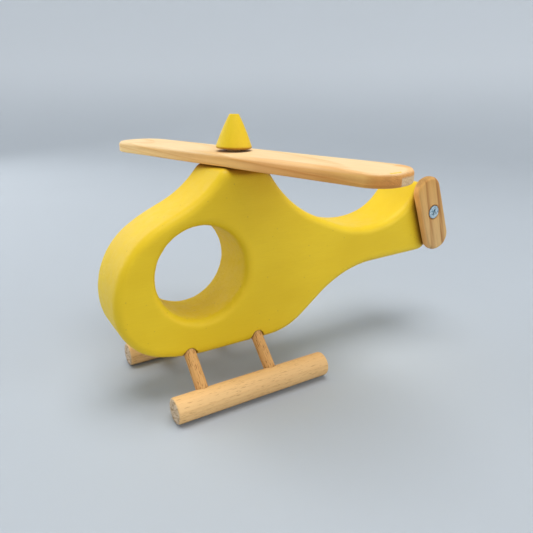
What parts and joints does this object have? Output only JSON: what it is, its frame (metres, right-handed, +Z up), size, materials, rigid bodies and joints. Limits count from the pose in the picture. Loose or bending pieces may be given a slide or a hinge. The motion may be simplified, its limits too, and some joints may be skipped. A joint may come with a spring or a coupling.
{
  "type": "toy helicopter",
  "caption": "Wooden toy helicopter: flat painted body with a round grip hole, dowel skids, a main rotor spinning on a capped mast, and a tail rotor on a screw.",
  "frame": {"origin": "on the floor under the middle of the toy's overall box, skids standing on Z = 0", "axes": "+X aft (nose at -X), +Y to starboard along the cockpit hole's axis, +Z up along the mast"},
  "size_m": [0.2264, 0.208, 0.1502],
  "materials": {
    "yellow_paint": "satin yellow paint over sanded wood",
    "pine": "bare sanded pine, straight grain",
    "striped_pine": "bare sanded pine with dark growth rings",
    "beech": "bare turned beech dowel with short dark flecks",
    "zinc_steel": "zinc-plated steel"
  },
  "bodies": {
    "airframe": {"fuselage": "yellow_paint", "mast": "beech", "rotor_cap": "yellow_paint", "tail_screw": "zinc_steel", "port_skid": "beech", "starboard_skid": "beech", "port_front_strut": "beech", "port_rear_strut": "beech", "starboard_front_strut": "beech", "starboard_rear_strut": "beech"},
    "main_rotor": {"main_rotor": "pine"},
    "tail_rotor": {"tail_rotor": "striped_pine"}
  },
  "joints": [
    {"name": "main_rotor_spin", "type": "hinge", "parent": "airframe", "child": "main_rotor", "pos_m": [-0.0357, 0.00044, 0.1276], "axis": [0, 0, 1], "continuous": true},
    {"name": "tail_rotor_spin", "type": "hinge", "parent": "airframe", "child": "tail_rotor", "pos_m": [0.097, -0.02206, 0.0853], "axis": [0, 1, 0], "continuous": true}
  ]
}
